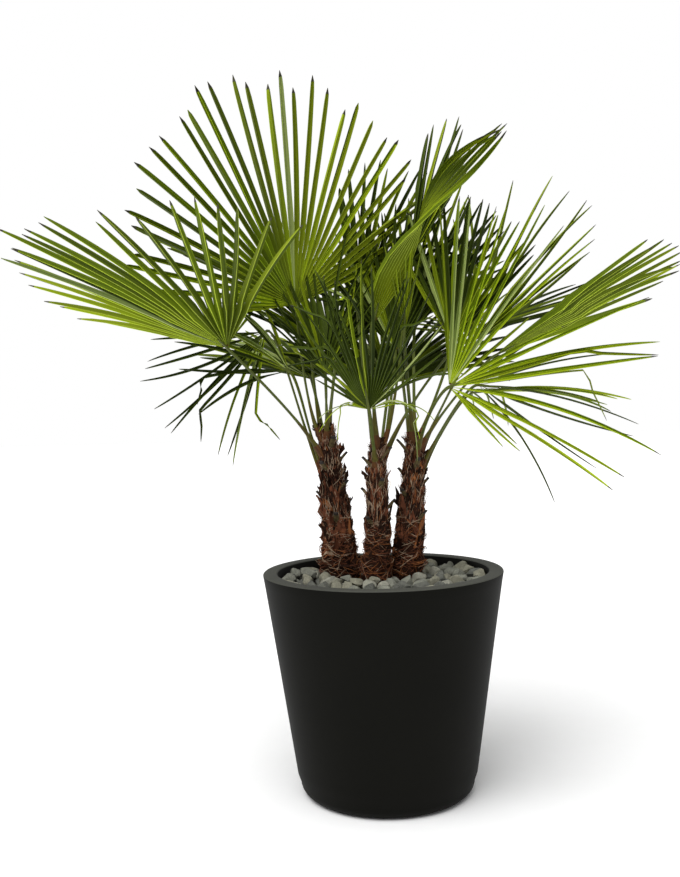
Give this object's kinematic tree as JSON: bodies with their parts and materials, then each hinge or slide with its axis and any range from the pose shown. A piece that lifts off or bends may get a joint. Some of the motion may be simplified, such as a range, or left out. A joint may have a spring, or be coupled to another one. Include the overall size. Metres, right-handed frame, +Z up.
{
  "type": "potted multi-stem fan palm",
  "caption": "Fan palm with slender fibrous stems and pleated fan fronds, planted in a round tapered black pot with a grey pebble top dressing.",
  "frame": {"origin": "centre of the flat underside of the pot, on the floor", "axes": "+Z up, +Y away from the viewer of the picture, +X to the right in it"},
  "size_m": [1.5428, 1.441, 1.7894],
  "materials": {
    "pot": "matt black, faintly mottled",
    "soil": "damp, crumbly",
    "pebbles": "smooth matt grey stone",
    "bark": "matted brown fibre",
    "frond": "leathery satin green"
  },
  "bodies": {
    "root": {"pot": "pot", "soil": "soil", "pebble_bed": "pebbles", "stem_left": "bark", "stem_middle": "bark", "stem_right": "bark", "frond_back_left_low": "frond", "frond_back_left_tall": "frond", "frond_back_low": "frond", "frond_back_middle": "frond", "frond_back_right": "frond", "frond_back_right_low": "frond", "frond_back_tall": "frond", "frond_front_middle": "frond", "frond_front_small": "frond", "frond_left_back": "frond", "frond_left_centre": "frond", "frond_left_drooping": "frond", "frond_left_inner": "frond", "frond_left_low": "frond", "frond_left_tall": "frond", "frond_middle_folded": "frond", "frond_middle_inner": "frond", "frond_right_back": "frond", "frond_right_drooping": "frond", "frond_right_far": "frond", "frond_right_front": "frond", "frond_right_inner": "frond", "frond_right_upright": "frond", "frond_upright_tuft": "frond"}
  },
  "joints": []
}
